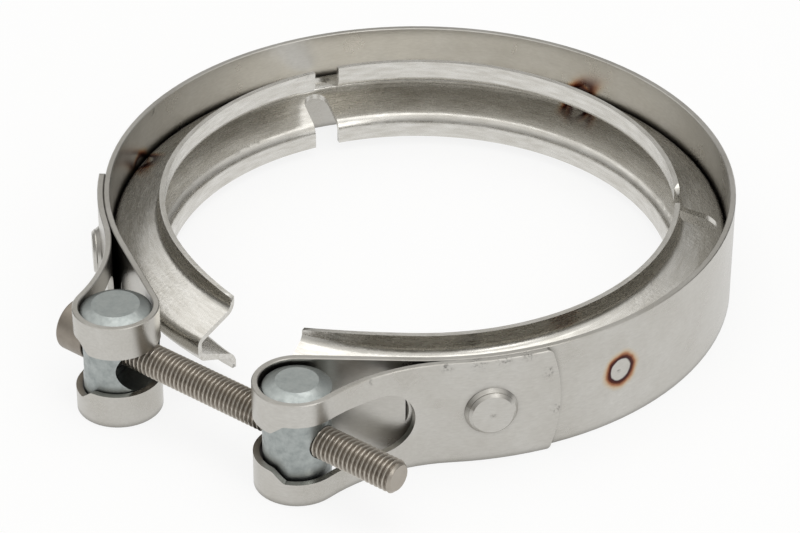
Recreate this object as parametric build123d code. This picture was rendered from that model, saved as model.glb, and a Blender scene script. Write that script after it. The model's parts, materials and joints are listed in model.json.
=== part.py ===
from build123d import *
import os
from math import acos, asin, atan2, cos, degrees, hypot, radians, sin, sqrt, tan

# Exhaust clamp in millimetres. The origin is the centre of the ring, half way up the band.
# Z is the ring's axis. The opening and the cross screw are at -Y, and the screw's head is at -X.

# Band: one strip, rolled to a ring, folded into a loop at each end and lapped back on the ring
BAND_R = 78.2                # outer radius of the ring
BAND_T = 1.5                 # sheet thickness
BAND_W = 28.06               # strip width, along Z
BAND_EDGE = 0.2              # small chamfer on the sheared edges
LOOP_X = 26.3                # loop centres lie at plus and minus this
LOOP_Y = -86.8
LOOP_R = 8.75                # inside radius of a loop
NECK_R = 45.0                # hollow bend between the loop and the lap, at mid sheet
LAP_GAP = 0.12               # lap to ring
LAP_END = 327.2              # polar angle of the right lap's corners
LAP_END_R = 40.0             # bowed end of the lap
LAP_CORNER_R = 1.5

# Keyhole slot through each loop, wide on the outside and narrow towards the opening
SLOT_WIDE = 8.0              # half height where the screw's head passes
SLOT_NARROW = 5.3            # half height where the shank passes
SLOT_STEP = 280.0            # angle round the right loop of the step from narrow to wide
SLOT_STEP_RUN = 3.2          # length of the sloped step along the strip
SLOT_STEP_R = 1.6            # its rounded corners
SLOT_FRONT_END = 122.0       # angle round the right loop where the narrow part ends
SLOT_LAP_REACH = 23.5        # from the loop along the neck to the end of the wide part

# Clinch: a button pressed out of both layers, which holds the lap to the ring
CLINCH_ANGLE = 316.8         # polar angle of the right one
CLINCH_BASE_R = 6.3
CLINCH_FACE_R = 4.9
CLINCH_RISE = 1.85           # height above the lap
CLINCH_EDGE_R = 0.7
CLINCH_ROOT_R = 0.9
CLINCH_DISH = 0.18           # hollow of the button's face
CLINCH_POCKET_R = 4.2        # punch pocket in the ring's inner face
CLINCH_POCKET_DEPTH = 2.2

# Spot welds between the band and the retainer: polar angle and height, with a shallow dent on each face
WELDS = ((341.6, 0.7), (90.5, 0.0), (194.0, 0.6))
WELD_DENT_R = 3.0            # dent in the band
WELD_TIP_R = 1.7             # smaller dent in the retainer's web
WELD_DEPTH = 0.25

# V retainer: one strip of V section inside the band, which pulls two tube flanges together
WEB_GAP = 0.05               # web to band
RETAINER_T = 1.3
WEB_HALF = 2.2               # half height of the web, to the sharp corner
LEG_SLOPE = 20.0             # legs to the ring's plane
WEB_BEND_R = 2.5             # outside radius between web and leg
LIP_BEND_R = 2.3             # hollow radius between leg and lip
LIP_R = 63.3                 # inside radius of the lips
LIP_TOP = 11.4               # lips reach this height above and below
OPENING = (260.7, 279.5)     # polar angles of the retainer's two ends
NOTCHES = (32.4, 147.6)      # relief notches, where the strip was bent to radius
NOTCH_W = 6.6
NOTCH_TO_WEB = 1.15          # from the notch's round end to the web's inner face

# Screw: socket head cap screw, 8 mm by 90 mm
SCREW_R = 4.0
SCREW_LENGTH = 90.0          # under the head
SCREW_HEAD_R = 6.5
SCREW_HEAD_H = 8.0
SCREW_HEAD_EDGE = 0.55
SCREW_ROOT_R = 0.4           # fillet under the head
SCREW_TIP = 0.8              # chamfer at the tip
SOCKET_ACROSS = 6.0
SOCKET_DEPTH = 4.0
SCREW_PAST = 29.35           # length past the screw trunnion's axis
SCREW_SWING = 2.4            # turn in the ring's plane, head end towards the ring
SCREW_LEAN = 0.8             # drop towards the tip

# Trunnions: cross barrels that turn in the loops
TRUNNION_HALF = 13.9         # half length
TRUNNION_BEVEL = 1.5         # height of the end bevels
SCREW_TRUNNION_R = 8.0
SCREW_TRUNNION_FACE_R = 5.0
SCREW_TRUNNION_Z = 0.3       # rides this high on the screw
THREAD_PLAY = 0.06           # radial, between the screw and its tapped hole
TAP_MOUTH = 0.35             # countersink of the tapped hole
HEAD_TRUNNION_R = 8.4
HEAD_TRUNNION_FACE_R = 5.7
HEAD_TRUNNION_Z = 0.5
MOUTH_R = 6.85               # round counterbore that faces the opening
MOUTH_DEPTH = 9.0
PASSAGE_HALF = 5.2           # half height of the oblong hole on the head's side
PASSAGE_CORNER_R = 3.0
HEAD_PLAY = 0.42             # head to its spot face, for the swing
SPOT_PAST = 1.9              # spot face past the head's edge, for the swing


def polar(radius, angle, z=0.0):
    return Vector(radius * cos(radians(angle)), radius * sin(radians(angle)), z)


def facing(centre, radius, angle, z=0.0):
    """Plane square to a radius: its Z points outwards and its Y up."""
    return Plane(origin=centre + polar(radius, angle, z),
                 x_dir=polar(1, angle + 90), z_dir=polar(1, angle))


def strip_face(arcs, thickness):
    """Outline of a bent strip. Each arc is its centre, mid radius, start angle and turn.
    Straight runs join arcs that don't meet."""
    sides = []
    for side in (1, -1):
        chain = []
        for centre, radius, start, turn in arcs:
            outward = -side if turn > 0 else side
            arc = CenterArc(centre, radius + outward * thickness / 2, start, turn)
            if chain and (chain[-1] @ 1 - arc @ 0).length > 0.001:
                chain.append(Line(chain[-1] @ 1, arc @ 0))
            chain.append(arc)
        sides.append(chain)
    left, right = sides
    caps = [Line(left[0] @ 0, right[0] @ 0), Line(left[-1] @ 1, right[-1] @ 1)]
    return make_face(left + right + caps)


def upright(face, half_height):
    return extrude(face, half_height, both=True)


# Where the right half of the strip runs, seen from above
ORIGIN = Vector(0, 0, 0)
loop_centre = Vector(LOOP_X, LOOP_Y, 0)
ring_mid = BAND_R - BAND_T / 2
loop_mid = LOOP_R + BAND_T / 2
lap_mid = BAND_R + LAP_GAP + BAND_T / 2
lap_face = lap_mid + BAND_T / 2
loop_reach = hypot(LOOP_X, LOOP_Y)
loop_polar = degrees(atan2(LOOP_Y, LOOP_X)) + 360
leave_ring = loop_polar + degrees(acos((ring_mid + loop_mid) / loop_reach))
neck_reach = lap_mid + NECK_R
neck_to_loop = NECK_R + loop_mid
join_lap = loop_polar + degrees(acos(
    (loop_reach**2 + neck_reach**2 - neck_to_loop**2) / (2 * loop_reach * neck_reach)))
neck_centre = polar(neck_reach, join_lap)
leave_loop = degrees(atan2(neck_centre.Y - LOOP_Y, neck_centre.X - LOOP_X)) + 360
lap_bow = LAP_END_R - sqrt(LAP_END_R**2 - (BAND_W / 2)**2)
lap_apex = LAP_END + degrees(asin(lap_bow / lap_mid))

ring_arc = (ORIGIN, ring_mid, 540 - leave_ring, 2 * leave_ring - 900)
loop_arc = (loop_centre, loop_mid, leave_ring - 180, leave_loop - leave_ring + 180)
neck_arc = (neck_centre, NECK_R, leave_loop - 180, join_lap - leave_loop)
lap_arc = (ORIGIN, lap_mid, join_lap, lap_apex + 0.5 - join_lap)


def mirrored(arc):
    """The left side's copy of an arc, run the other way, so that the strip stays one path."""
    centre, radius, start, turn = arc
    return Vector(-centre.X, centre.Y, 0), radius, 180 - start - turn, turn


def lap_trim():
    """What is sheared off the lap to leave its bowed end."""
    past = 6.0
    outline = Pos(lap_bow / 2 - LAP_END_R, 0) * Circle(LAP_END_R)
    outline &= Rectangle(2 * past, BAND_W)
    corners = outline.vertices().sort_by(Axis.X)[-2:]
    outline = fillet(corners, LAP_CORNER_R)
    waste = Rectangle(2 * past, BAND_W + 2) - outline
    seat = facing(ORIGIN, BAND_R + LAP_GAP / 2, (LAP_END + lap_apex) / 2)
    return seat * extrude(waste, 2 * BAND_T)


def slot_cut():
    """Keyhole slot of the right loop, cut square to the sheet all the way along."""
    wall = 2 * BAND_T
    wide_angle = degrees((SLOT_LAP_REACH - SLOT_WIDE) / NECK_R)
    narrow_angle = SLOT_FRONT_END + degrees(asin(SLOT_NARROW / loop_mid))
    wide_part = strip_face([(loop_centre, loop_mid, SLOT_STEP + 10, leave_loop - SLOT_STEP - 10),
                            (neck_centre, NECK_R, leave_loop - 180, -wide_angle)], wall)
    narrow_part = strip_face([(loop_centre, loop_mid, narrow_angle, SLOT_STEP - 10 - narrow_angle)], wall)
    wide_end = facing(neck_centre, NECK_R, leave_loop - 180 - wide_angle)
    narrow_end = facing(loop_centre, loop_mid, narrow_angle)
    half = SLOT_STEP_RUN / 2
    reach = half + 2.4
    step = make_face(Polyline([(-reach, SLOT_NARROW), (-half, SLOT_NARROW), (half, SLOT_WIDE),
                               (reach, SLOT_WIDE), (reach, -SLOT_WIDE), (half, -SLOT_WIDE),
                               (-half, -SLOT_NARROW), (-reach, -SLOT_NARROW)], close=True))
    step = fillet([v for v in step.vertices() if abs(abs(v.X) - half) < 0.01], SLOT_STEP_R)
    step_seat = facing(loop_centre, loop_mid, SLOT_STEP)
    return (upright(wide_part, SLOT_WIDE) + upright(narrow_part, SLOT_NARROW)
            + wide_end * Cylinder(SLOT_WIDE, 3 * BAND_T)
            + narrow_end * Cylinder(SLOT_NARROW, 3.6 * BAND_T)
            + step_seat * extrude(step, 1.8 * BAND_T, both=True))


def clinch_button(angle):
    depth = BAND_T + LAP_GAP + BAND_T / 2
    profile = make_face(Polyline([(0, -depth), (CLINCH_BASE_R, -depth), (CLINCH_BASE_R, 0),
                                  (CLINCH_FACE_R + CLINCH_EDGE_R, CLINCH_ROOT_R),
                                  (CLINCH_FACE_R + CLINCH_EDGE_R, CLINCH_RISE - CLINCH_EDGE_R),
                                  (CLINCH_FACE_R, CLINCH_RISE), (0, CLINCH_RISE - CLINCH_DISH)], close=True))
    button = revolve(Plane.XZ * profile, Axis.Z)
    return facing(ORIGIN, lap_face, angle) * button


def clinch_pocket(angle):
    start = BAND_R - BAND_T - 0.5
    depth = CLINCH_POCKET_DEPTH + 0.5
    return facing(ORIGIN, start + depth / 2, angle) * Cylinder(CLINCH_POCKET_R, depth)


def dent(dent_radius):
    """Cap of a ball that stands on Z and dips below the plane by the dent's depth."""
    ball = (dent_radius**2 + WELD_DEPTH**2) / (2 * WELD_DEPTH)
    rim = 1.6 * dent_radius
    side = CenterArc((0, ball - WELD_DEPTH), ball, 270, degrees(asin(rim / ball)))
    top = Polyline(side @ 1, (0, (side @ 1).Y), side @ 0)
    return revolve(Plane.XZ * make_face([side, top]), Axis.Z)


def make_band():
    path = [mirrored(lap_arc), mirrored(neck_arc), mirrored(loop_arc), ring_arc, loop_arc, neck_arc, lap_arc]
    band = upright(strip_face(path, BAND_T), BAND_W / 2)
    sheared = band.faces().sort_by(Axis.Z)
    band = chamfer(sheared[0].edges() + sheared[-1].edges(), BAND_EDGE)
    for cut in (lap_trim(), slot_cut()):
        band -= cut
        band -= mirror(cut, about=Plane.YZ)
    for angle in (CLINCH_ANGLE, 180 - CLINCH_ANGLE):
        band += clinch_button(angle)
        band -= clinch_pocket(angle)
    for angle, z in WELDS:
        band -= facing(ORIGIN, BAND_R, angle, z) * dent(WELD_DENT_R)
    return band


def make_retainer():
    web_r = BAND_R - BAND_T - WEB_GAP
    lip_face = LIP_R + RETAINER_T
    lip_corner = WEB_HALF + (web_r - lip_face) * tan(radians(LEG_SLOPE))
    outer = FilletPolyline((lip_face, LIP_TOP), (lip_face, lip_corner), (web_r, WEB_HALF),
                           (web_r, -WEB_HALF), (lip_face, -lip_corner), (lip_face, -LIP_TOP),
                           radius=[LIP_BEND_R, WEB_BEND_R, WEB_BEND_R, LIP_BEND_R])
    section = make_face(offset(outer, RETAINER_T, side=Side.RIGHT, closed=True))
    retainer = revolve(Rot(0, 0, OPENING[1]) * (Plane.XZ * section), Axis.Z, OPENING[0] + 360 - OPENING[1])
    notch_end = web_r - RETAINER_T - NOTCH_TO_WEB - NOTCH_W / 2
    inside = LIP_R - 3
    notch = Pos((inside + notch_end) / 2, 0, 0) * Box(notch_end - inside, NOTCH_W, 3 * LIP_TOP)
    notch += Pos(notch_end, 0, 0) * Cylinder(NOTCH_W / 2, 3 * LIP_TOP)
    for angle in NOTCHES:
        retainer -= Rot(0, 0, angle) * notch
    inwards = Rot(0, 180, 0)
    for angle, z in WELDS:
        retainer -= facing(ORIGIN, web_r - RETAINER_T, angle, z) * inwards * dent(WELD_TIP_R)
    return retainer


# The screw's own frame: X runs from head to tip and Z is the screw trunnion's axis
swing_dir = polar(1, -SCREW_SWING)
screw_dir = swing_dir * cos(radians(SCREW_LEAN)) - Vector(0, 0, sin(radians(SCREW_LEAN)))
screw_up = swing_dir * sin(radians(SCREW_LEAN)) + Vector(0, 0, cos(radians(SCREW_LEAN)))
screw_frame = Plane(origin=(LOOP_X, LOOP_Y, SCREW_TRUNNION_Z), x_dir=screw_dir, z_dir=screw_up)
bearing_at = SCREW_PAST - SCREW_LENGTH      # the head's bearing face, in that frame


def barrel(radius, face_radius):
    profile = make_face(Polyline([(0, -TRUNNION_HALF), (face_radius, -TRUNNION_HALF),
                                  (radius, TRUNNION_BEVEL - TRUNNION_HALF),
                                  (radius, TRUNNION_HALF - TRUNNION_BEVEL),
                                  (face_radius, TRUNNION_HALF), (0, TRUNNION_HALF)], close=True))
    return revolve(Plane.XZ * profile, Axis.Z)


def make_screw_trunnion():
    body = barrel(SCREW_TRUNNION_R, SCREW_TRUNNION_FACE_R)
    hole_r = SCREW_R + THREAD_PLAY
    along = Rot(0, 90, 0)
    body -= along * Cylinder(hole_r, 3 * SCREW_TRUNNION_R)
    # The mouths are countersunk from where the hole's top and bottom meet the barrel's sides
    mouth_at = SCREW_TRUNNION_R
    length = 2 * TAP_MOUTH
    flare = Cone(hole_r, hole_r + length, length, align=(Align.CENTER, Align.CENTER, Align.MIN))
    body -= Pos(mouth_at - TAP_MOUTH, 0, 0) * along * flare
    body -= Pos(TAP_MOUTH - mouth_at, 0, 0) * Rot(0, -90, 0) * flare
    return screw_frame * body


def make_head_trunnion():
    body = barrel(HEAD_TRUNNION_R, HEAD_TRUNNION_FACE_R)
    along = Rot(0, 90, 0)
    body -= Pos(HEAD_TRUNNION_R - MOUTH_DEPTH / 2, 0, 0) * along * Cylinder(MOUTH_R, MOUTH_DEPTH)
    passage = RectangleRounded(2 * MOUTH_R, 2 * PASSAGE_HALF, PASSAGE_CORNER_R)
    body -= Plane.YZ * extrude(passage, -2 * HEAD_TRUNNION_R)
    # The head crosses the trunnion's axis line at this distance, measured along X
    head_at = (2 * LOOP_X / cos(radians(SCREW_SWING)) + bearing_at) * cos(radians(SCREW_SWING))
    spot = Cylinder(SCREW_HEAD_R + SPOT_PAST, HEAD_TRUNNION_R, align=(Align.CENTER, Align.CENTER, Align.MAX))
    body -= Pos(head_at + HEAD_PLAY, 0, 0) * along * spot
    return Pos(-LOOP_X, LOOP_Y, HEAD_TRUNNION_Z) * body


def make_screw():
    profile = make_face(Polyline([(0, -SCREW_HEAD_H), (SCREW_HEAD_R - SCREW_HEAD_EDGE, -SCREW_HEAD_H),
                                  (SCREW_HEAD_R, SCREW_HEAD_EDGE - SCREW_HEAD_H), (SCREW_HEAD_R, 0),
                                  (SCREW_R + SCREW_ROOT_R, 0), (SCREW_R, SCREW_ROOT_R),
                                  (SCREW_R, SCREW_LENGTH - SCREW_TIP), (SCREW_R - SCREW_TIP, SCREW_LENGTH),
                                  (0, SCREW_LENGTH)], close=True))
    screw = revolve(Plane.XZ * profile, Axis.Z)
    hexagon = RegularPolygon(SOCKET_ACROSS / 2, 6, major_radius=False)
    screw -= Pos(0, 0, -SCREW_HEAD_H) * extrude(hexagon, SOCKET_DEPTH)
    return screw_frame * (Pos(bearing_at, 0, 0) * Rot(0, 90, 0) * screw)


os.makedirs("parts", exist_ok=True)
export_step(make_band(), "parts/band.step")
export_step(make_retainer(), "parts/v_retainer.step")
export_step(make_head_trunnion(), "parts/head_trunnion.step")
export_step(make_screw_trunnion(), "parts/screw_trunnion.step")
export_step(make_screw(), "parts/clamp_screw.step")
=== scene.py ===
# %% [markdown]
# An exhaust clamp in five pieces. A stainless band is folded into a loop at each end, and each loop
# holds a barrel, the trunnion. A long screw pulls the two trunnions together. Inside the band sits
# the retainer, a strip rolled to a V section that squeezes two tube flanges.
# The engineering model comes in first as a fixed frame, in metres, and gives every piece its place.
# What is added here is the look: the screw's real thread, the pulled-in ends of the retainer, the
# grain of each metal, the colours that welding left, and wear.

# %% Load the frame
import json
import math

import bmesh
import bpy
import numpy as np
from mathutils import Matrix, Vector
from mathutils.bvhtree import BVHTree


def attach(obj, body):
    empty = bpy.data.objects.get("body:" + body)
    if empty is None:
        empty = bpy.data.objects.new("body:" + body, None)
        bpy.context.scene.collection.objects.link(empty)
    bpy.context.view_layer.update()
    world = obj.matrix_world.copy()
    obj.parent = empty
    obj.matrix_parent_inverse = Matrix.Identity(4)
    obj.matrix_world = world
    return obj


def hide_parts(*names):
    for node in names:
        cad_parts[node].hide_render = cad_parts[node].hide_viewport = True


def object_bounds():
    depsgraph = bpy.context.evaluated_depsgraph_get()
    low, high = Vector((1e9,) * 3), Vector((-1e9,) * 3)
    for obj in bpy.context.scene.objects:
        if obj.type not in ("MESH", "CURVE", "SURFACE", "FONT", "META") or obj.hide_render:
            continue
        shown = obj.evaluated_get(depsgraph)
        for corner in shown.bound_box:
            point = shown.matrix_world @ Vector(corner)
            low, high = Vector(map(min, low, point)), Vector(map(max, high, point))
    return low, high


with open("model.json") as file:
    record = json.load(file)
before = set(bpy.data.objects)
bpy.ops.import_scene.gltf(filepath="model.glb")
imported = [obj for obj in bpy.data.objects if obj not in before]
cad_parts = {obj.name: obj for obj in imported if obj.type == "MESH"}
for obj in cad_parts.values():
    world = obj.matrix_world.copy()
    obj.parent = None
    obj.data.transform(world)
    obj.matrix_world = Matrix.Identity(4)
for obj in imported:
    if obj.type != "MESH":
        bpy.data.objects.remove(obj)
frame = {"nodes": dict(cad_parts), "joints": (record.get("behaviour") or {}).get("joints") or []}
nodes = frame["nodes"]
cad_low, cad_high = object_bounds()
MM = 0.001
print("frame pieces:", sorted(nodes))


# %% [markdown]
# Colours are written as they look on a screen, in hex, but Blender shades in linear light, so one
# function converts them. A second helper adds a shader node with its settings and its links in one
# go, which keeps each material readable as a short recipe. A third turns the size that a pattern has
# on the real metal, in millimetres, into the scale that a noise node asks for. A noise's values
# crowd round 0.5, so most recipes stretch the span from 0.3 to 0.7 over the whole way from 0 to 1.

# %% Helpers for materials
NOISE_LOW, NOISE_HIGH = 0.3, 0.7


def linear(hex_colour, alpha=1.0):
    """sRGB hex to linear RGBA: each channel is divided by 12.92 below 0.04045, else a 2.4 power."""
    channels = [int(hex_colour[i:i + 2], 16) / 255 for i in (1, 3, 5)]
    return [c / 12.92 if c <= 0.04045 else ((c + 0.055) / 1.055) ** 2.4 for c in channels] + [alpha]


def add(tree, kind, inputs=None, **settings):
    """Adds one node. An input is either a value or the socket of another node that feeds it."""
    node = tree.nodes.new(kind)
    for name, value in settings.items():
        setattr(node, name, value)
    for key, value in (inputs or {}).items():
        if isinstance(value, bpy.types.NodeSocket):
            tree.links.new(value, node.inputs[key])
        else:
            node.inputs[key].default_value = value
    return node


def per_metre(size_mm):
    """A noise's scale: how many of its cells lie in a metre, one divided by a cell's size."""
    return 1 / (size_mm * MM)


print("a 2 mm pattern has the scale", per_metre(2.0))


# %% [markdown]
# The camera stands where the photographer's did. It was found by fitting the ellipses of the band's
# edges: a long lens, 830 mm from the ring, 33 degrees above the table and 35 degrees round from the
# opening. The optical centre isn't the picture's middle, so the lens is shifted by the difference.
# A camera could be turned by eye instead, but a fitted one puts every outline where it belongs.

# %% Camera
LENS = 149.1
SENSOR = 36.0
CAMERA_AT = Vector((0.39659, -0.5749, 0.44743))
LOOK_AT = Vector((0.0, 0.0, 0.0))
ROLL = math.radians(0.416)
PRINCIPAL = (419.61, 227.36)
IMAGE = (800, 533)

camera_data = bpy.data.cameras.new("camera")
camera_data.lens = LENS
camera_data.sensor_width = SENSOR
camera_data.clip_start = 0.05
camera_data.shift_x = (IMAGE[0] / 2 - PRINCIPAL[0]) / IMAGE[0]
camera_data.shift_y = (PRINCIPAL[1] - IMAGE[1] / 2) / IMAGE[0]
camera = bpy.data.objects.new("camera", camera_data)
bpy.context.scene.collection.objects.link(camera)
aim = (LOOK_AT - CAMERA_AT).to_track_quat("-Z", "Y").to_matrix().to_4x4()
stand = Matrix.Translation(CAMERA_AT) @ aim @ Matrix.Rotation(ROLL, 4, "Z")
camera.matrix_world = stand
bpy.context.scene.camera = camera
print("camera distance in mm:", round((LOOK_AT - CAMERA_AT).length / MM, 1))


# %% [markdown]
# Scuffs and nicks are placed by the pixel of the photograph that shows them. A line of sight through
# that pixel is followed until it meets the piece, so each mark lies on the metal itself and stays
# there from every side. Typed coordinates would do as well, but a pixel can be looked up again.

# %% The point that a pixel shows
NEAR_RING = np.linspace(0.85, 1.15, 121)


def seen_at(node, pixel):
    """First point of a node's surface on the line from the camera through a pixel. Where the line
    just misses the piece, it is the surface's nearest point to any place on the line near the ring,
    from 0.85 to 1.15 of the camera's distance."""
    mesh = nodes[node].data
    surface = BVHTree.FromPolygons([v.co for v in mesh.vertices], [p.vertices for p in mesh.polygons])
    focal = LENS / SENSOR * IMAGE[0]
    sight = Vector(((pixel[0] - PRINCIPAL[0]) / focal, (PRINCIPAL[1] - pixel[1]) / focal, -1.0))
    sight = (stand.to_3x3() @ sight).normalized()
    hit = surface.ray_cast(CAMERA_AT, sight)[0]
    if hit is None:
        on_line = [CAMERA_AT + sight * CAMERA_AT.length * share for share in NEAR_RING]
        hit = min((surface.find_nearest(point) for point in on_line), key=lambda found: found[3])[0]
    return hit


print("middle of the button in mm:", [round(c / MM, 1) for c in seen_at("band", (496, 410))])


# %% [markdown]
# The clamp lies on a white table. Stronger lamps would whiten the paper, but would burn out the metal
# too. So the paper itself glows, for the camera and in reflections only, and a share of it stays plain
# paper, which keeps the shadow.

# %% Table
FLOOR_Z = cad_low.z
FLOOR_HALF = 4.0
FLOOR_GLOW = 0.85
scene = bpy.context.scene
scene.view_settings.view_transform = "Standard"

floor_mesh = bpy.data.meshes.new("floor")
floor_mesh.from_pydata([(-FLOOR_HALF, -FLOOR_HALF, FLOOR_Z), (FLOOR_HALF, -FLOOR_HALF, FLOOR_Z),
                        (FLOOR_HALF, FLOOR_HALF, FLOOR_Z), (-FLOOR_HALF, FLOOR_HALF, FLOOR_Z)],
                       [], [(0, 1, 2, 3)])
floor = bpy.data.objects.new("floor", floor_mesh)
scene.collection.objects.link(floor)

table_white = bpy.data.materials.new("table_white")
table_white.use_nodes = True
tree = table_white.node_tree
tree.nodes.clear()
path = add(tree, "ShaderNodeLightPath")
seen = add(tree, "ShaderNodeMath", {0: path.outputs["Is Camera Ray"], 1: path.outputs["Is Glossy Ray"]},
           operation="MAXIMUM")
seen = add(tree, "ShaderNodeMath", {0: seen.outputs[0], 1: path.outputs["Is Transmission Ray"]},
           operation="MAXIMUM")
share = add(tree, "ShaderNodeMath", {0: seen.outputs[0], 1: FLOOR_GLOW}, operation="MULTIPLY")
paper = add(tree, "ShaderNodeBsdfDiffuse", {"Color": linear("#f2f2f0")})
glow = add(tree, "ShaderNodeEmission", {"Color": (1, 1, 1, 1), "Strength": 1.0})
mixed = add(tree, "ShaderNodeMixShader", {0: share.outputs[0], 1: paper.outputs[0], 2: glow.outputs[0]})
add(tree, "ShaderNodeOutputMaterial", {0: mixed.outputs[0]})
floor_mesh.materials.append(table_white)
print("table at height in mm:", round(FLOOR_Z / MM, 2))


# %% [markdown]
# Bare metal shows little of its own: it shows the room. Here the room is a white tent. The tent is
# bright overhead and grey towards the horizon, most of all low down behind the clamp, and that draws
# the soft dark bands that make steel read as steel. The camera itself sees a plain white backdrop.
# A panorama could light the clamp as well, but a ramp over the height has only a few numbers, and it
# is easy to see what each one does to the metal.

# %% Tent
# Each stop is a height, 0 at the horizon and 1 overhead, and the grey level there
TENT = ((0.0, 0.50), (0.18, 0.36), (0.42, 0.60), (0.75, 0.96), (1.0, 1.0))
TENT_TINT = (1.0, 0.99, 0.965)
TENT_STRENGTH = 0.95
# How much of the strength is gone where the shade is full, and how fast it grows and fades with height
BACK_SHADE = 0.5
BACK_REACH, BACK_FADE = 1.2, 0.9

world = bpy.data.worlds.new("tent")
world.use_nodes = True
scene.world = world
tree = world.node_tree
tree.nodes.clear()
path = add(tree, "ShaderNodeLightPath")
direction = add(tree, "ShaderNodeTexCoord")
parts = add(tree, "ShaderNodeSeparateXYZ", {0: direction.outputs["Generated"]})
tent = add(tree, "ShaderNodeValToRGB", {0: parts.outputs["Z"]})
ramp = tent.color_ramp
while len(ramp.elements) < len(TENT):
    ramp.elements.new(0.5)
for stop, (height, grey) in zip(ramp.elements, TENT):
    stop.position = height
    stop.color = [grey * tint for tint in TENT_TINT] + [1]
behind = add(tree, "ShaderNodeMath", {0: parts.outputs["Y"], 1: BACK_REACH}, operation="MULTIPLY")
risen = add(tree, "ShaderNodeMath", {0: parts.outputs["Z"], 1: BACK_FADE}, operation="MULTIPLY")
low_back = add(tree, "ShaderNodeMath", {0: behind.outputs[0], 1: risen.outputs[0]},
               operation="SUBTRACT", use_clamp=True)
level = add(tree, "ShaderNodeMapRange",
            {0: low_back.outputs[0], 3: TENT_STRENGTH, 4: TENT_STRENGTH * (1 - BACK_SHADE)})
lit = add(tree, "ShaderNodeBackground", {"Color": tent.outputs[0], "Strength": level.outputs[0]})
plain = add(tree, "ShaderNodeBackground", {"Color": (1, 1, 1, 1), "Strength": 1.0})
mixed = add(tree, "ShaderNodeMixShader",
            {0: path.outputs["Is Camera Ray"], 1: lit.outputs[0], 2: plain.outputs[0]})
add(tree, "ShaderNodeOutputWorld", {0: mixed.outputs[0]})
print("tent stops:", len(TENT))


# %% [markdown]
# Three soft boxes stand in the tent. The large one overhead lights the tops and lays a soft shadow.
# The one on the right brightens the band's outside and the lap, and a weak one on the left keeps the
# loops from going dull. They are area lamps, because steel mirrors a lamp's own shape, and a broad
# lamp shows as a pale patch and not as a spark.

# %% Soft boxes
# Each lamp's place, its width and height, and its power in watts
SOFT_BOXES = {"top_box": ((0.0, 0.1, 1.1), (1.1, 0.9), 3.2),
              "left_box": ((-0.82, 0.0, 0.75), (0.5, 0.6), 0.35),
              "right_box": ((0.95, -0.3, 0.55), (0.4, 0.7), 1.6)}
for name, (place, size, watts) in SOFT_BOXES.items():
    light = bpy.data.lights.new(name, "AREA")
    light.shape = "RECTANGLE"
    light.size, light.size_y = size
    light.energy = watts
    lamp = bpy.data.objects.new(name, light)
    scene.collection.objects.link(lamp)
    place = Vector(place)
    lamp.matrix_world = Matrix.Translation(place) @ (-place).to_track_quat("-Z", "Y").to_matrix().to_4x4()
print("lamps:", ", ".join(SOFT_BOXES))


# %% [markdown]
# Cold-rolled stainless steel keeps a faint grain along the strip, left by the rolls. Round the ring
# that grain has to follow the circle. A strip of pattern wrapped round it would repeat and show a
# seam, so the pattern is worked out from the angle and the height: the direction from the axis, as a
# unit vector, changes slowly round the ring, while height and radius are stretched until the noise
# becomes long thin streaks.

# %% Streaks that follow the ring
RING_R = 78.0


def ring_streaks(tree, place, long_mm, across_mm):
    """Noise on (x/r, y/r, height) with the radius as its fourth coordinate. The first two are
    multiplied by the ring's radius over a streak's length, and height and radius are divided by the
    space between two streaks."""
    parts = add(tree, "ShaderNodeSeparateXYZ", {0: place})
    flat = add(tree, "ShaderNodeCombineXYZ", {0: parts.outputs[0], 1: parts.outputs[1]})
    radius = add(tree, "ShaderNodeVectorMath", {0: flat.outputs[0]}, operation="LENGTH")
    unit = add(tree, "ShaderNodeVectorMath", {0: flat.outputs[0]}, operation="NORMALIZE")
    along = add(tree, "ShaderNodeVectorMath", {0: unit.outputs[0], "Scale": RING_R / long_mm},
                operation="SCALE")
    along = add(tree, "ShaderNodeSeparateXYZ", {0: along.outputs[0]})
    height = add(tree, "ShaderNodeMath", {0: parts.outputs[2], 1: per_metre(across_mm)},
                 operation="MULTIPLY")
    depth = add(tree, "ShaderNodeMath", {0: radius.outputs["Value"], 1: per_metre(across_mm)},
                operation="MULTIPLY")
    at = add(tree, "ShaderNodeCombineXYZ",
             {0: along.outputs[0], 1: along.outputs[1], 2: height.outputs[0]})
    return add(tree, "ShaderNodeTexNoise",
               {"Vector": at.outputs[0], "W": depth.outputs[0], "Scale": 1.0, "Detail": 3.0},
               noise_dimensions="4D").outputs["Fac"]


# %% [markdown]
# A spot weld heats the sheet, and the oxide that grows there is thin enough to colour it. The colour
# goes by how hot each ring round the weld became: bare metal where the electrode pressed, then dark
# purple and brown, then orange, then straw that fades out. So the colour is a ramp over the distance
# from the weld, measured in the sheet, with a little noise so that the ring isn't drawn by compass.
# Painting it by hand would take two matching pictures, one for each of the two sheets that are joined.
# The ramp falls on both at the same place.

# %% Distance from a spot weld
# Each weld's angle round the ring in degrees and its height in mm
WELDS = ((341.6, 0.7), (90.5, 0.0), (194.0, 0.6))
# How far a ring strays from a circle and how long its waves are, in mm, and how much it leans
RAGGED, RAGGED_SIZE = 0.6, 3.125
LEAN = -0.09


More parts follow.
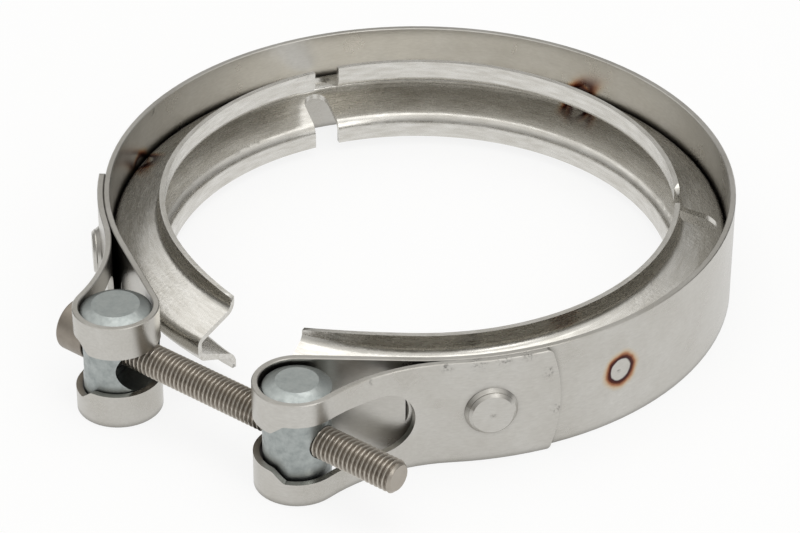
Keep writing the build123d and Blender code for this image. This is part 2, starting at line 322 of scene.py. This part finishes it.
def weld_distance(tree, place, weld):
    """Length of the way from the weld along the ring's tangent and along its axis, so it is the same
    on both faces of the sheet. A noise makes it ragged, and the lean moves the ring to one side."""
    angle, height = math.radians(weld[0]), weld[1] * MM
    tangent = (-math.sin(angle), math.cos(angle), 0.0)
    side = add(tree, "ShaderNodeVectorMath", {0: place, 1: tangent}, operation="DOT_PRODUCT")
    parts = add(tree, "ShaderNodeSeparateXYZ", {0: place})
    rise = add(tree, "ShaderNodeMath", {0: parts.outputs[2], 1: height}, operation="SUBTRACT")
    across = add(tree, "ShaderNodeCombineXYZ", {0: side.outputs["Value"], 1: rise.outputs[0]})
    far = add(tree, "ShaderNodeVectorMath", {0: across.outputs[0]}, operation="LENGTH")
    uneven = add(tree, "ShaderNodeTexNoise",
                 {"Vector": place, "Scale": per_metre(RAGGED_SIZE), "Detail": 3.0})
    uneven = add(tree, "ShaderNodeMapRange", {0: uneven.outputs["Fac"], 3: -RAGGED * MM, 4: RAGGED * MM})
    lean = add(tree, "ShaderNodeMath", {0: side.outputs["Value"], 1: LEAN}, operation="MULTIPLY")
    far = add(tree, "ShaderNodeMath", {0: far.outputs["Value"], 1: uneven.outputs[0]}, operation="ADD")
    return add(tree, "ShaderNodeMath", {0: far.outputs[0], 1: lean.outputs[0]}, operation="ADD").outputs[0]


# %% Heat colours round a spot weld
# Each stop is a distance in mm, the colour there and how much of the metal's own colour it covers
HEAT_COLOURS = ((2.7, "#3a1d1f", 0.0), (3.1, "#3a2226", 1.0), (3.75, "#54291f", 1.0),
                (4.3, "#9c5c2a", 0.85), (4.9, "#c39a5c", 0.4), (5.9, "#cdbfa0", 0.0))
HEAT_REACH = 8.0
# Towards a weld, the retainer's legs lie inside the first distance from the axis, in mm, and stay
# clean. Its web and the band lie past the second and take the full colour
LEG_ROOTS = (70.0, 73.5)


def heat_tint(tree, place, colour, weld):
    """Lays one weld's rings over a colour: a ramp over the distance divided by the reach. Its alpha
    is multiplied by the way from the legs' roots to the web, and says how much it covers."""
    share = add(tree, "ShaderNodeMath", {0: weld_distance(tree, place, weld), 1: HEAT_REACH * MM},
                operation="DIVIDE")
    rings = add(tree, "ShaderNodeValToRGB", {0: share.outputs[0]})
    ramp = rings.color_ramp
    while len(ramp.elements) < len(HEAT_COLOURS):
        ramp.elements.new(0.5)
    for stop, (distance, tint, cover) in zip(ramp.elements, HEAT_COLOURS):
        stop.position = distance / HEAT_REACH
        stop.color = linear(tint, cover)
    angle = math.radians(weld[0])
    outwards = (math.cos(angle), math.sin(angle), 0.0)
    facing = add(tree, "ShaderNodeVectorMath", {0: place, 1: outwards}, operation="DOT_PRODUCT")
    near = add(tree, "ShaderNodeMapRange",
               {0: facing.outputs["Value"], 1: LEG_ROOTS[0] * MM, 2: LEG_ROOTS[1] * MM})
    amount = add(tree, "ShaderNodeMath", {0: rings.outputs["Alpha"], 1: near.outputs[0]},
                 operation="MULTIPLY")
    return add(tree, "ShaderNodeMix", {0: amount.outputs[0], 6: colour, 7: rings.outputs["Color"]},
               data_type="RGBA").outputs[2]


# %% [markdown]
# Handling leaves smudges and small scuffs. They could be painted on an unwrapped sheet, but a folded
# strip is awkward to unwrap. Here each is a ball of a few millimetres round its point, and inside it a
# noise decides where the mark really shows, so it breaks up at its rim. In the narrow corners and gaps
# the colour is darkened as painted shade. One node measures how closed in a point is, so no corner is
# marked by hand.

# %% Marks at chosen points, and painted shade in corners
BREAK_SIZE = 0.909
BREAK_LOW, BREAK_HIGH = 0.5, 0.66


def near_any(tree, place, spots):
    """The largest of some balls. Each is 1 at its point and falls to 0 at its reach by the smooth
    curve 3t2 - 2t3, where t is how much of the reach is left."""
    mask = None
    for point, reach_mm in spots:
        gap = add(tree, "ShaderNodeVectorMath", {0: place, 1: point}, operation="DISTANCE")
        ball = add(tree, "ShaderNodeMapRange",
                   {0: gap.outputs["Value"], 1: 0.0, 2: reach_mm * MM, 3: 1.0, 4: 0.0},
                   interpolation_type="SMOOTHSTEP").outputs[0]
        mask = ball if mask is None else add(tree, "ShaderNodeMath", {0: mask, 1: ball},
                                             operation="MAXIMUM").outputs[0]
    return mask


def handling_marks(tree, place, colour, marks, dirt, strength):
    """Lays dark broken marks over a colour: the balls, times a noise, times the strength, is how
    much dirt covers it. Returns the new colour and that amount."""
    mask = near_any(tree, place, marks)
    broken = add(tree, "ShaderNodeTexNoise",
                 {"Vector": place, "Scale": per_metre(BREAK_SIZE), "Detail": 4.0, "Roughness": 0.65})
    broken = add(tree, "ShaderNodeMapRange", {0: broken.outputs["Fac"], 1: BREAK_LOW, 2: BREAK_HIGH})
    amount = add(tree, "ShaderNodeMath", {0: mask, 1: broken.outputs[0]}, operation="MULTIPLY")
    amount = add(tree, "ShaderNodeMath", {0: amount.outputs[0], 1: strength}, operation="MULTIPLY")
    marked = add(tree, "ShaderNodeMix", {0: amount.outputs[0], 6: colour, 7: linear(dirt)},
                 data_type="RGBA")
    return marked.outputs[2], amount.outputs[0]


def painted_corner_shade(tree, colour, reach_mm, dark, unshaded_above):
    """Painted shade in corners and gaps: mixes from a dark colour to the unshaded one by the share of
    open sky within the reach, and is all unshaded above the given share."""
    open_share = add(tree, "ShaderNodeAmbientOcclusion", {"Distance": reach_mm * MM}, samples=8)
    unshaded = add(tree, "ShaderNodeMapRange", {0: open_share.outputs["AO"], 1: 0.0, 2: unshaded_above})
    return add(tree, "ShaderNodeMix", {0: unshaded.outputs[0], 6: linear(dark), 7: colour},
               data_type="RGBA").outputs[2]


def new_metal(name):
    """A bare metal, to which the recipe links its colour, roughness and relief."""
    material = bpy.data.materials.new(name)
    material.use_nodes = True
    tree = material.node_tree
    shader = tree.nodes["Principled BSDF"]
    shader.inputs["Metallic"].default_value = 1.0
    place = add(tree, "ShaderNodeTexCoord").outputs["Object"]
    return material, tree, shader, place


# %% [markdown]
# The band is cold-rolled austenitic stainless steel, 1.5 mm thick, with a satin mill finish. Such a
# sheet is bright but not a mirror: reflections blur over several degrees, and the blur changes a
# little from place to place, in clouds about 18 mm wide. The same clouds stain the colour, because
# pickling and rolling leave both at once. Fine streaks run along the strip. The real ones are closer
# together, and 0.4 mm is as coarse as they need to be to show. The marks are a scuffed line under the
# lap's upper edge, a smudge at its end, a scratch by the loop and a nick in the ring's upper edge.

# %% Band: satin stainless, its colour
# Each mark's pixel in the photograph and its reach in mm
BAND_MARKS = (((480, 362), 3.2), ((505, 359), 3.0), ((528, 354), 2.6), ((447, 367), 2.4), ((557, 408), 2.4),
              ((372, 382), 1.3), ((549, 372), 2.2), ((153, 114), 2.4), ((696, 236), 2.0))
BAND_CLOUD = 18.18
STREAK_SHARE = 0.22
band_steel, tree, shader, place = new_metal("band_steel")
grain = ring_streaks(tree, place, long_mm=1.418, across_mm=0.4)
cloud = add(tree, "ShaderNodeTexNoise",
            {"Vector": place, "Scale": per_metre(BAND_CLOUD), "Detail": 5.0, "Roughness": 0.6})
stain = add(tree, "ShaderNodeMapRange", {0: cloud.outputs["Fac"], 1: NOISE_LOW, 2: NOISE_HIGH})
colour = add(tree, "ShaderNodeMix", {0: stain.outputs[0], 6: linear("#bab7b0"), 7: linear("#cbc9c4")},
             data_type="RGBA").outputs[2]
streak = add(tree, "ShaderNodeMapRange", {0: grain, 1: NOISE_LOW, 2: NOISE_HIGH, 3: 0.0, 4: STREAK_SHARE})
colour = add(tree, "ShaderNodeMix", {0: streak.outputs[0], 6: colour, 7: linear("#97938b")},
             data_type="RGBA").outputs[2]
marks = [(seen_at("band", pixel), reach_mm) for pixel, reach_mm in BAND_MARKS]
colour, marked = handling_marks(tree, place, colour, marks, dirt="#4b4844", strength=0.75)
for weld in WELDS:
    colour = heat_tint(tree, place, colour, weld)
# Painted shade: the band's colour darkens where it is closed in, broadly within 8 mm and deeply in narrow
# gaps within 1.8 mm
colour = painted_corner_shade(tree, colour, reach_mm=8.0, dark="#67625b", unshaded_above=0.55)
colour = painted_corner_shade(tree, colour, reach_mm=1.8, dark="#34312d", unshaded_above=0.95)
tree.links.new(colour, shader.inputs["Base Color"])
print("marks on the band:", len(marks))

# %% Band: blur and relief
BAND_BLUR = (0.24, 0.36)
blur = add(tree, "ShaderNodeMapRange",
           {0: cloud.outputs["Fac"], 1: NOISE_LOW, 2: NOISE_HIGH, 3: BAND_BLUR[0], 4: BAND_BLUR[1]})
tree.links.new(blur.outputs[0], shader.inputs["Roughness"])
scratch = add(tree, "ShaderNodeBump", {"Strength": 0.16, "Distance": 0.05 * MM, "Height": grain})
dint = add(tree, "ShaderNodeBump", {"Strength": 0.5, "Distance": 0.2 * MM, "Height": marked,
                                    "Normal": scratch.outputs[0]}, invert=True)
tree.links.new(dint.outputs[0], shader.inputs["Normal"])
nodes["band"].data.materials.clear()
nodes["band"].data.materials.append(band_steel)
print("roughness of the band:", BAND_BLUR)


# %% [markdown]
# The retainer was rolled to its V section as a straight strip and then bent round. The rolls can't
# hold its two ends, so over the last 24 degrees the web is pulled inwards, the lips come out lower
# and one leg spreads. The model's section is the same all the way, so the look gets those ends here:
# a copy of the mesh has its doubles merged, and its points are moved by a smooth function of the
# angle. A new strip could be built instead, but the copy keeps its notches and its weld dents.

# %% Sizes of the retainer's ends
# Angles are in degrees, and heights count from the ring's middle plane. Where a size has two values,
# they are the left and the right end's, as the photograph shows them
OPENING_EDGES = (260.7, 279.5)
END_RUN = 24.0
END_PULL = 1.4 * MM
LIP_DROPS = (1.9 * MM, 2.8 * MM)
LEG_SPREADS = (1.3 * MM, 0.0)
LIP_FOOT = 7.2 * MM
LEG_BEND = 3 * MM
print("the ends change over mm:", round(math.radians(END_RUN) * RING_R, 1))


# %% Copy the retainer and pull its ends
def merged_copy(node, name):
    """A new mesh with a node's form, its doubled points merged."""
    shape = bmesh.new()
    shape.from_mesh(nodes[node].data)
    bmesh.ops.remove_doubles(shape, verts=shape.verts, dist=1e-6)
    mesh = bpy.data.meshes.new(name)
    shape.to_mesh(mesh)
    shape.free()
    return mesh


def pull_ends(mesh):
    """For each end: the change grows with the square of the way into the last 24 degrees. The radius
    shrinks by the pull, all at the web and none at the lips. Above its foot a lip gets lower by the
    drop, in step with its height, and below the web the leg goes down by the spread."""
    points = np.empty(3 * len(mesh.vertices))
    mesh.vertices.foreach_get("co", points)
    points = points.reshape(-1, 3)
    radius = np.hypot(points[:, 0], points[:, 1])
    angle = np.degrees(np.arctan2(points[:, 1], points[:, 0])) % 360
    web, lip = radius.max(), radius.min()
    outward = (radius - lip) / (web - lip)
    z = points[:, 2].copy()
    lip_top = np.abs(z).max()
    on_lip = np.clip((np.abs(z) - LIP_FOOT) / (lip_top - LIP_FOOT), 0, 1)
    new_radius, new_z = radius.copy(), z.copy()
    for side, edge, drop, spread in zip((1, -1), OPENING_EDGES, LIP_DROPS, LEG_SPREADS):
        into = (END_RUN - side * (edge - angle)) / END_RUN
        on_side = side * (edge - angle) > -1e-3
        change = np.where(on_side, np.clip(into, 0, 1), 0) ** 2
        new_radius -= END_PULL * change * outward
        new_z -= np.sign(z) * drop * change * on_lip
        new_z -= spread * change * np.clip(-z / LEG_BEND, 0, 1)
    points[:, :2] *= (new_radius / radius)[:, None]
    points[:, 2] = new_z
    mesh.vertices.foreach_set("co", points.ravel())
    mesh.update()
    return float(np.abs(new_z - z).max())


retainer_mesh = merged_copy("v_retainer", "rolled_retainer")
moved = pull_ends(retainer_mesh)
print("retainer triangles:", len(retainer_mesh.polygons), "most moved in mm:", round(moved / MM, 2))

# %% Put the new retainer in place
retainer_mesh.shade_smooth()
retainer_mesh.set_sharp_from_angle(angle=math.radians(30))
rolled_retainer = bpy.data.objects.new("rolled_retainer", retainer_mesh)
scene.collection.objects.link(rolled_retainer)
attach(rolled_retainer, "ring")
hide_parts("v_retainer")
print("in place:", rolled_retainer.name)


# %% [markdown]
# The same stainless steel, but drawn over rolls: its faces are brighter, with long streaks about a
# millimetre apart that the rolls pressed in. Where the strip was cut and bent most, at the ends and
# by the right notch, the skin is crumpled and glints in specks, so a coarser bump grows there. A
# second, finer set of streaks changes only how sharp the reflection is. It breaks up the highlights
# without adding lines to the colour.

# %% Retainer: rolled stainless, its colour
# Each mark's pixel in the photograph and its reach in mm
LIP_MARKS = (((306, 76), 1.6), ((322, 70), 2.0), ((296, 79), 1.2))
ROLLED_LOW, ROLLED_HIGH = 0.32, 0.68
retainer_steel, tree, shader, place = new_metal("retainer_steel")
grain = ring_streaks(tree, place, long_mm=6.5, across_mm=0.9)
streak = add(tree, "ShaderNodeMapRange", {0: grain, 1: ROLLED_LOW, 2: ROLLED_HIGH})
colour = add(tree, "ShaderNodeMix", {0: streak.outputs[0], 6: linear("#c6c3bc"), 7: linear("#dad8d3")},
             data_type="RGBA").outputs[2]
marks = [(seen_at("v_retainer", pixel), reach_mm) for pixel, reach_mm in LIP_MARKS]
colour = handling_marks(tree, place, colour, marks, dirt="#4b4844", strength=0.8)[0]
for weld in WELDS:
    colour = heat_tint(tree, place, colour, weld)
# Painted shade: the retainer's colour darkens where it is closed in, within 4 mm
colour = painted_corner_shade(tree, colour, reach_mm=4.0, dark="#777169", unshaded_above=0.3)
tree.links.new(colour, shader.inputs["Base Color"])
print("marks on the far lip:", len(marks))

# %% Retainer: blur and relief
ROUGH_SKIN = (((180, 290), 24.0), ((215, 330), 12.0), ((690, 195), 13.0), ((700, 235), 14.0),
              ((360, 350), 16.0), ((640, 285), 16.0))
SPECK_SIZE = 1.111
RETAINER_BLUR = (0.2, 0.34)
fine = ring_streaks(tree, place, long_mm=2.6, across_mm=0.35)
blur = add(tree, "ShaderNodeMapRange",
           {0: fine, 1: NOISE_LOW, 2: NOISE_HIGH, 3: RETAINER_BLUR[0], 4: RETAINER_BLUR[1]})
tree.links.new(blur.outputs[0], shader.inputs["Roughness"])
rough_spots = [(seen_at("v_retainer", pixel), reach_mm) for pixel, reach_mm in ROUGH_SKIN]
crumple = near_any(tree, place, rough_spots)
speck = add(tree, "ShaderNodeTexNoise",
            {"Vector": place, "Scale": per_metre(SPECK_SIZE), "Detail": 4.0, "Roughness": 0.6})
speck = add(tree, "ShaderNodeMath", {0: speck.outputs["Fac"], 1: crumple}, operation="MULTIPLY")
waves = add(tree, "ShaderNodeBump", {"Strength": 0.2, "Distance": 0.08 * MM, "Height": grain})
skin = add(tree, "ShaderNodeBump", {"Strength": 0.45, "Distance": 0.25 * MM, "Height": speck.outputs[0],
                                    "Normal": waves.outputs[0]})
tree.links.new(skin.outputs[0], shader.inputs["Normal"])
retainer_mesh.materials.append(retainer_steel)
print("rough patches on the retainer:", len(ROUGH_SKIN))


# %% [markdown]
# The trunnions are turned steel barrels with bright zinc plate. Zinc grows in crystals, so the plate
# is a little blue, cloudy over a millimetre or two, and rougher than stainless. The cloud mixes two
# greys, and the same noise makes the duller patches rougher, because both come from the crystals. A
# finer noise gives the plate its tooth, which is drawn coarser than it is, so that it shows.

# %% Trunnions: bright zinc plate
ZINC_CLOUD, ZINC_TOOTH = 1.923, 0.3846
# The span of the noise that goes over the whole colour, and the narrower one for the roughness
COLOUR_SPAN, BLUR_SPAN = (0.25, 0.75), (0.34, 0.66)
ZINC_BLUR = (0.48, 0.34)
trunnion_zinc, tree, shader, place = new_metal("trunnion_zinc")
cloud = add(tree, "ShaderNodeTexNoise",
            {"Vector": place, "Scale": per_metre(ZINC_CLOUD), "Detail": 5.0, "Roughness": 0.65})
patch = add(tree, "ShaderNodeMapRange",
            {0: cloud.outputs["Fac"], 1: COLOUR_SPAN[0], 2: COLOUR_SPAN[1]})
colour = add(tree, "ShaderNodeMix", {0: patch.outputs[0], 6: linear("#959b9a"), 7: linear("#b2b7b5")},
             data_type="RGBA").outputs[2]
# Painted shade: the zinc's colour darkens where the barrel is closed in, within 3 mm
colour = painted_corner_shade(tree, colour, reach_mm=3.0, dark="#3d4040", unshaded_above=0.7)
tree.links.new(colour, shader.inputs["Base Color"])
blur = add(tree, "ShaderNodeMapRange",
           {0: cloud.outputs["Fac"], 1: BLUR_SPAN[0], 2: BLUR_SPAN[1], 3: ZINC_BLUR[0], 4: ZINC_BLUR[1]})
tree.links.new(blur.outputs[0], shader.inputs["Roughness"])
tooth = add(tree, "ShaderNodeTexNoise", {"Vector": place, "Scale": per_metre(ZINC_TOOTH), "Detail": 3.0})
bump = add(tree, "ShaderNodeBump", {"Strength": 0.25, "Distance": 0.06 * MM, "Height": tooth.outputs["Fac"]})
tree.links.new(bump.outputs[0], shader.inputs["Normal"])
for name in ("head_trunnion", "screw_trunnion"):
    nodes[name].data.materials.clear()
    nodes[name].data.materials.append(trunnion_zinc)
print("zinc on two trunnions")


# %% [markdown]
# The screw's thread is a real helix. A bump in the material could draw it, but the screw's outline
# would stay smooth. So the surface is one grid: rows run from the bottom of the key socket, out over
# the head, along the shank and in to the centre of the tip, and each row is a circle, or a hexagon
# inside the socket, sampled at the same angles. On the shank the radius dips with the distance from
# the nearest crest, and the crest moves one pitch along for each full turn.

# %% Screw sizes
# Places along the screw are measured from the plane where the head bears, towards the tip
PITCH = 1.25 * MM
THREAD_DEPTH = 0.70 * MM
THREAD_START = 1.5 * MM
SCREW_R = 4.0 * MM
SCREW_LENGTH = 90.0 * MM
SCREW_PAST = 29.35 * MM
TIP_CHAMFER = 0.85 * MM
TIP_R, TIP_DISH, TIP_DISH_R = SCREW_R - 0.9 * MM, 0.1 * MM, SCREW_R * 0.45
HEAD_R, HEAD_H, HEAD_EDGE, HEAD_FOOT = 6.5 * MM, 8.0 * MM, 0.7 * MM, 0.15 * MM
SOCKET_ACROSS, SOCKET_DEPTH = 6.0 * MM, 4.0 * MM
SOCKET_RIM, SOCKET_MOUTH_R, SOCKET_FLOOR, DRILL_POINT = 0.5 * MM, SOCKET_ACROSS / 2 * 1.17, 0.93, 1.2 * MM
ROUND = 72
PER_PITCH = 12
joint = next(j for j in frame["joints"] if j["name"] == "screw_spin")
screw_dir = Vector(joint["axis"]).normalized()
bearing_at = Vector(joint["pos_m"]) - screw_dir * (SCREW_LENGTH - SCREW_PAST)
angles = np.linspace(0, 2 * np.pi, ROUND, endpoint=False)
print("threads on the shank:", round(SCREW_LENGTH / PITCH))


# %% Rows of the screw
def circle_rows(profile):
    """Rows of equal radius: one (distance along, radius) pair each."""
    return [(np.full(ROUND, along), np.full(ROUND, radius)) for along, radius in profile]


def hexagon(across):
    """Radius of a hexagon at each angle: half the width across flats over the cosine to the nearest
    flat."""
    to_flat = (angles + np.pi / 6) % (np.pi / 3) - np.pi / 6
    return across / 2 / np.cos(to_flat)


def thread_rows(start, end):
    """Radius along the helix: a crest flat for an eighth of the pitch, then flanks of about 60
    degrees to a root flat. The thread runs out over two pitches, and the tip is turned to a cone."""
    along = np.arange(start, end, PITCH / PER_PITCH)
    grid = along[:, None] - angles[None, :] / (2 * np.pi) * PITCH
    phase = np.abs((grid / PITCH) % 1.0 - 0.5) * 2.0
    flank = np.clip((phase - 0.125) / 0.625, 0.0, 1.0)
    fade = np.clip((along - start) / (2 * PITCH), 0.0, 1.0)[:, None]
    radius = SCREW_R - THREAD_DEPTH * flank * fade
    tip = SCREW_R - TIP_CHAMFER + (SCREW_LENGTH - along)[:, None]
    return [(np.full(ROUND, a), r) for a, r in zip(along, np.minimum(radius, tip))]


socket_hexagon = hexagon(SOCKET_ACROSS)
bend = np.linspace(0, np.pi / 2, 6)
# The socket: a drill's point, a narrow floor round it, six walls and a chamfered mouth
rows = circle_rows([(SOCKET_DEPTH + DRILL_POINT - HEAD_H, 0.0)])
rows += [(np.full(ROUND, SOCKET_DEPTH - HEAD_H), socket_hexagon * SOCKET_FLOOR)]
rows += [(np.full(ROUND, SOCKET_DEPTH - HEAD_H), socket_hexagon)]
rows += [(np.full(ROUND, SOCKET_RIM - HEAD_H), socket_hexagon)]
rows += circle_rows([(-HEAD_H, SOCKET_MOUTH_R)])
# The head's rounded edge, its side and its small lower chamfer
rows += circle_rows([(HEAD_EDGE - HEAD_H - HEAD_EDGE * math.cos(a),
                      HEAD_R - HEAD_EDGE + HEAD_EDGE * math.sin(a)) for a in bend])
rows += circle_rows([(-HEAD_FOOT, HEAD_R), (0.0, HEAD_R - HEAD_FOOT)])
# A small fillet leads from the head's underside to the shank
rows += circle_rows([(0.0, SCREW_R + 0.4 * MM), (0.12 * MM, SCREW_R + 0.12 * MM), (0.4 * MM, SCREW_R)])
rows += thread_rows(THREAD_START, SCREW_LENGTH - 0.02 * MM)
rows += circle_rows([(SCREW_LENGTH, TIP_R), (SCREW_LENGTH - TIP_DISH, TIP_DISH_R),
                     (SCREW_LENGTH - TIP_DISH, 0.0)])
print("rows in the screw's grid:", len(rows))


# %% [markdown]
# The rows become one mesh: each point is the axis' point plus its radius times the direction of its
# angle, and neighbouring rows are joined by quads. The mesh also stores a value for each point, from
# 0 in a thread's root to 1 on its crest, that says how rubbed it is and how much painted highlight it
# gets, so that the finish can follow the thread.

# %% Screw mesh
HEAD_WEAR_AND_HIGHLIGHT, TIP_WEAR_AND_HIGHLIGHT = 0.5, 0.72
along = np.array([row[0] for row in rows])
radius = np.array([row[1] for row in rows])
side = screw_dir.cross(Vector((0, 0, 1))).normalized()
above = side.cross(screw_dir).normalized()
points = (np.array(bearing_at) + along[..., None] * np.array(screw_dir)
          + (radius * np.cos(angles))[..., None] * np.array(side)
          + (radius * np.sin(angles))[..., None] * np.array(above)).reshape(-1, 3)
index = np.arange(len(rows) * ROUND).reshape(len(rows), ROUND)
round_on = np.roll(index, -1, 1)
quads = np.stack([index[:-1], round_on[:-1], round_on[1:], index[1:]], -1).reshape(-1, 4)

# The crest value is wear and painted highlight at once; the head and the tip get fixed shares of it
crest = np.where(along > 1.0 * MM, (radius - SCREW_R + THREAD_DEPTH) / THREAD_DEPTH, HEAD_WEAR_AND_HIGHLIGHT)
crest = np.where(along > SCREW_LENGTH - TIP_CHAMFER, TIP_WEAR_AND_HIGHLIGHT, crest)
screw_mesh = bpy.data.meshes.new("threaded_screw")
screw_mesh.from_pydata(points.tolist(), [], quads.tolist())
wear_and_highlight = screw_mesh.attributes.new("crest", "FLOAT", "POINT")
wear_and_highlight.data.foreach_set("value", np.clip(crest, 0, 1).ravel().astype(np.float32))
print("screw points:", len(screw_mesh.vertices))


# %% Close the screw and put it in place
def close_surface(mesh, smooth_below):
    """Merges the doubled points at the poles, turns every face outwards and marks the sharp edges."""
    shape = bmesh.new()
    shape.from_mesh(mesh)
    bmesh.ops.remove_doubles(shape, verts=shape.verts, dist=1e-7)
    bmesh.ops.recalc_face_normals(shape, faces=shape.faces)
    shape.to_mesh(mesh)
    shape.free()
    mesh.shade_smooth()
    mesh.set_sharp_from_angle(angle=math.radians(smooth_below))


close_surface(screw_mesh, smooth_below=32)
threaded_screw = bpy.data.objects.new("threaded_screw", screw_mesh)
scene.collection.objects.link(threaded_screw)
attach(threaded_screw, "screw")
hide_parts("clamp_screw")
print("screw faces:", len(screw_mesh.polygons))


# %% [markdown]
# The screw is heat-resistant steel with a dry brown-grey film of thread lubricant. The film lies
# thick in the roots and is rubbed off the crests, which catch the light as thin bright lines. Their
# lighter colour is partly rubbed metal and partly a painted highlight. A node that looks for edges
# could guess where the crests are, but the mesh knows it. It carries that as an attribute, and the
# finish mixes from film to bare steel along it.

# %% Screw steel: coated, with rubbed crests that also carry a painted highlight
FILM_CLOUD, FILM_TOOTH = 2.381, 0.6667
RUBBED_AND_LIT_FROM = 0.45
SCREW_BLUR = (0.46, 0.3)
screw_steel, tree, shader, place = new_metal("screw_steel")
wear_and_highlight = add(tree, "ShaderNodeAttribute", attribute_name="crest")
rub_and_highlight = add(tree, "ShaderNodeMapRange", {0: wear_and_highlight.outputs["Fac"], 1: RUBBED_AND_LIT_FROM, 2: 1.0},
          interpolation_type="SMOOTHSTEP")
cloud = add(tree, "ShaderNodeTexNoise", {"Vector": place, "Scale": per_metre(FILM_CLOUD), "Detail": 4.0})
film = add(tree, "ShaderNodeMix", {0: cloud.outputs["Fac"], 6: linear("#857d73"), 7: linear("#a49c92")},
           data_type="RGBA")
# Wear and painted highlight: the crests get a lighter bare-steel colour
colour = add(tree, "ShaderNodeMix", {0: rub_and_highlight.outputs[0], 6: film.outputs[2], 7: linear("#bcb6ac")},
             data_type="RGBA")
tree.links.new(colour.outputs[2], shader.inputs["Base Color"])
blur = add(tree, "ShaderNodeMapRange", {0: rub_and_highlight.outputs[0], 3: SCREW_BLUR[0], 4: SCREW_BLUR[1]})
tree.links.new(blur.outputs[0], shader.inputs["Roughness"])
tooth = add(tree, "ShaderNodeTexNoise", {"Vector": place, "Scale": per_metre(FILM_TOOTH), "Detail": 4.0})
bump = add(tree, "ShaderNodeBump", {"Strength": 0.25, "Distance": 0.06 * MM, "Height": tooth.outputs["Fac"]})
tree.links.new(bump.outputs[0], shader.inputs["Normal"])
screw_mesh.materials.append(screw_steel)
print("screw finish follows the attribute:", screw_mesh.attributes["crest"].name)
